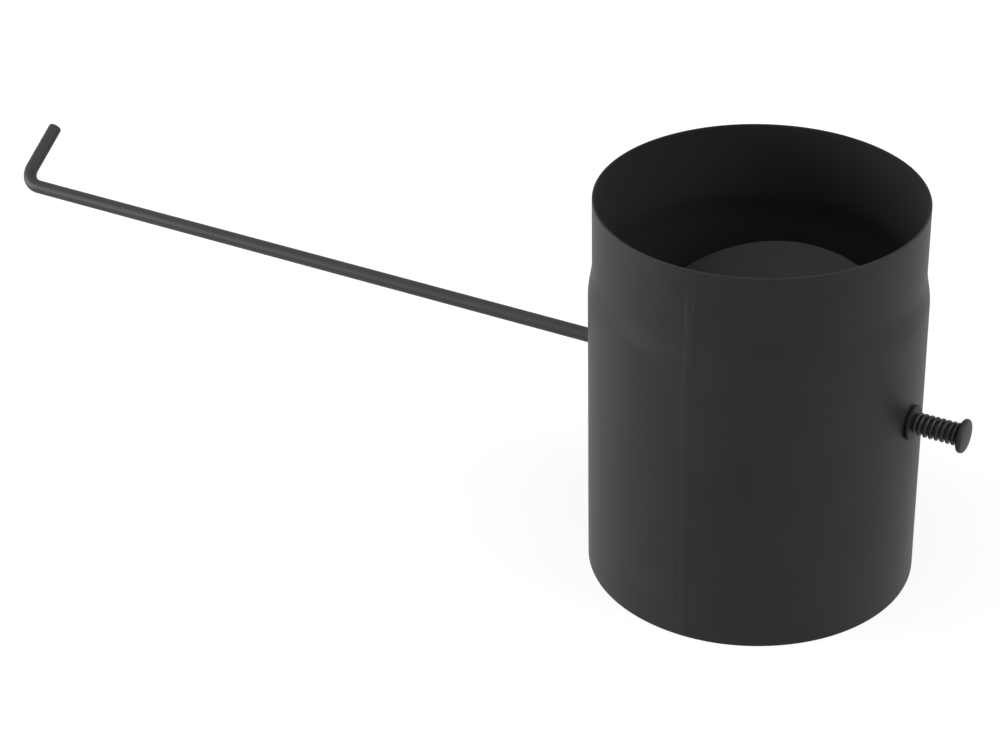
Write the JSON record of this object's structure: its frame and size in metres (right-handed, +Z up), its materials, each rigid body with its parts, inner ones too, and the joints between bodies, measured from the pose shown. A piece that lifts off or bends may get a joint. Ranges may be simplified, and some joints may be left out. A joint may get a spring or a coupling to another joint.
{
  "type": "chimney flue damper",
  "caption": "Short black steel flue pipe with a necked upper end and a round throttle plate inside, turned by a long hooked rod and held by a spring.",
  "frame": {"origin": "on the floor, midway along X between the outside of the hook's bend and the tip of the end button, in the plane through the pipe's axis and the rod", "axes": "+Z up along the pipe's axis, towards the necked end; +X along the rod, from the hook towards the spring; +Y to the side that the hook and the plate's raised edge point to"},
  "size_m": [0.424, 0.1223, 0.15],
  "materials": {
    "stove_paint": "matt high-temperature stove paint on steel sheet",
    "plate_paint": "matt high-temperature stove paint on steel sheet",
    "rod_black": "satin black paint on steel rod",
    "button_black": "satin black paint on steel",
    "spring_black": "black oiled spring steel wire",
    "washer_black": "matt black paint on steel"
  },
  "bodies": {
    "pipe": {"flue_pipe": "stove_paint", "spring_washer": "washer_black"},
    "damper": {"control_rod": "rod_black", "damper_plate": "plate_paint", "end_button": "button_black", "friction_spring": "spring_black"}
  },
  "joints": [
    {"name": "damper_turn", "type": "hinge", "parent": "pipe", "child": "damper", "pos_m": [0.12955, 0, 0.0753], "axis": [1, 0, 0], "continuous": true}
  ]
}
